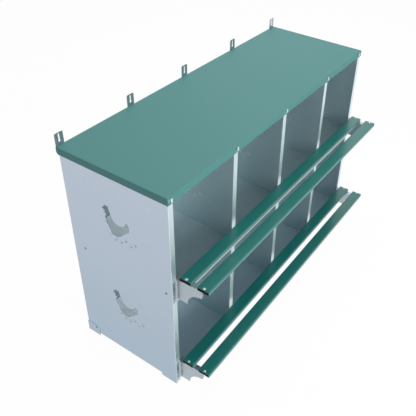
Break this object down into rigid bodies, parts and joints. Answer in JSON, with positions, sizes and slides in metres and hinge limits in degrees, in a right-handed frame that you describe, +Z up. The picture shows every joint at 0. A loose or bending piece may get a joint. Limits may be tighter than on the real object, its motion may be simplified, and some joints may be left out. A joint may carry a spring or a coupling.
{
  "type": "chicken nesting box",
  "caption": "Two-tier galvanised nesting box for hens: open-fronted nests with litter boards, bracketed perches, hen-shaped cut-outs, a painted tray roof and keyhole tabs for hanging.",
  "frame": {"origin": "middle of the box's overall footprint, on the ground under its feet", "axes": "+X along the front to the right, +Y from the front to the wall behind, +Z up"},
  "size_m": [1.2, 0.5284, 0.816],
  "materials": {
    "galvanised": "satin galvanised",
    "roof_paint": "satin paint",
    "perch_paint": "satin paint",
    "zinc": "bright zinc"
  },
  "bodies": {
    "root": {"roof": "roof_paint", "back_panel": "galvanised", "left_end_panel": "galvanised", "right_end_panel": "galvanised", "divider_1": "galvanised", "divider_2": "galvanised", "divider_3": "galvanised", "lower_floor_1": "galvanised", "lower_floor_2": "galvanised", "lower_floor_3": "galvanised", "lower_floor_4": "galvanised", "lower_litter_board": "galvanised", "lower_left_bracket": "galvanised", "lower_right_bracket": "galvanised", "lower_inner_perch": "perch_paint", "lower_outer_perch": "perch_paint", "upper_floor_1": "galvanised", "upper_floor_2": "galvanised", "upper_floor_3": "galvanised", "upper_floor_4": "galvanised", "upper_litter_board": "galvanised", "upper_left_bracket": "galvanised", "upper_right_bracket": "galvanised", "upper_inner_perch": "perch_paint", "upper_outer_perch": "perch_paint", "left_rear_foot": "galvanised", "right_rear_foot": "galvanised", "perch_screws": "zinc", "bracket_rivets": "zinc", "floor_rivets": "zinc", "back_rivets": "zinc", "foot_rivets": "zinc"}
  },
  "joints": []
}
